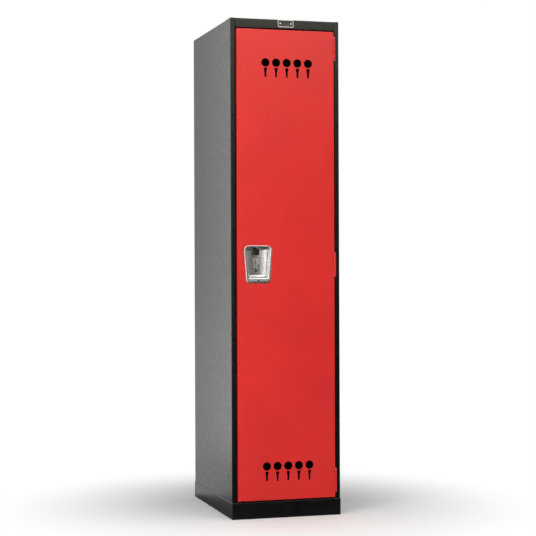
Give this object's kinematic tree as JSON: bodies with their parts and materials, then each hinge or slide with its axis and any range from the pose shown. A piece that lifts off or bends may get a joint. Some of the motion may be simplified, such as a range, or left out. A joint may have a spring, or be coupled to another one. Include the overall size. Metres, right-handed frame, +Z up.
{
  "type": "clothing locker",
  "caption": "Tall single tier steel clothing locker on a closed base, with a hinged vented door, recessed lift handle, bar latch, hat shelf and coat hooks.",
  "frame": {"origin": "on the floor under the middle of the locker's whole width and depth, hinge barrels included", "axes": "+Z up, -Y out of the front of the locker, +X to the right for someone facing the door"},
  "size_m": [0.381, 0.5414, 1.676],
  "materials": {
    "body_black": "semi-gloss black powder coat",
    "door_red": "semi-gloss red powder coat",
    "stainless": "drawn and lightly polished stainless",
    "zinc_steel": "zinc plated",
    "rubber_black": "matt black rubber",
    "nylon_white": "natural nylon",
    "plastic_black": "satin black moulding",
    "plate_dark": "dark anodised aluminium with a bare edge",
    "rivet_aluminium": "bare aluminium"
  },
  "bodies": {
    "cabinet": {"base_front": "body_black", "base_rear": "body_black", "base_left": "body_black", "base_right": "body_black", "upright_left": "body_black", "upright_right": "body_black", "upright_leg_left": "body_black", "upright_leg_right": "body_black", "door_stop_left": "body_black", "door_stop_right": "body_black", "header": "body_black", "sill": "body_black", "side_panel_left": "body_black", "side_panel_right": "body_black", "back_flange_left": "body_black", "back_flange_right": "body_black", "back_panel": "body_black", "top_panel": "body_black", "floor_panel": "body_black", "hat_shelf": "body_black", "shelf_screws": "body_black", "ceiling_hook": "zinc_steel", "wall_hook_left": "zinc_steel", "wall_hook_right": "zinc_steel", "wall_hook_back": "zinc_steel", "frame_hook_upper": "zinc_steel", "frame_hook_middle": "zinc_steel", "frame_hook_lower": "zinc_steel", "silencers": "rubber_black", "hinge_frame_leaf_upper": "door_red", "hinge_frame_leaf_middle": "door_red", "hinge_frame_leaf_lower": "door_red", "hinge_pin_upper": "zinc_steel", "hinge_pin_middle": "zinc_steel", "hinge_pin_lower": "zinc_steel", "number_plate": "plate_dark", "plate_rivets": "rivet_aluminium"},
    "door": {"door_skin": "door_red", "door_edge_latch": "door_red", "door_edge_hinge": "door_red", "door_edge_top": "door_red", "door_edge_bottom": "door_red", "door_stiffener": "door_red", "handle_cup": "stainless", "cup_rivet": "zinc_steel", "padlock_staple": "stainless", "bar_guides": "nylon_white", "hinge_door_leaf_upper": "door_red", "hinge_door_leaf_middle": "door_red", "hinge_door_leaf_lower": "door_red"},
    "latch": {"lock_bar": "zinc_steel", "latch_fingers": "zinc_steel", "slide_plate": "zinc_steel", "lift_grip": "plastic_black"}
  },
  "joints": [
    {"name": "door_hinge", "type": "hinge", "parent": "cabinet", "child": "door", "pos_m": [0.17275, -0.26675, 0.85075], "axis": [0, 0, 1], "range_deg": [0, 170]},
    {"name": "latch_lift", "type": "slide", "parent": "door", "child": "latch", "axis": [0, 0, 1], "range_m": [-0.01, 0.004]}
  ]
}
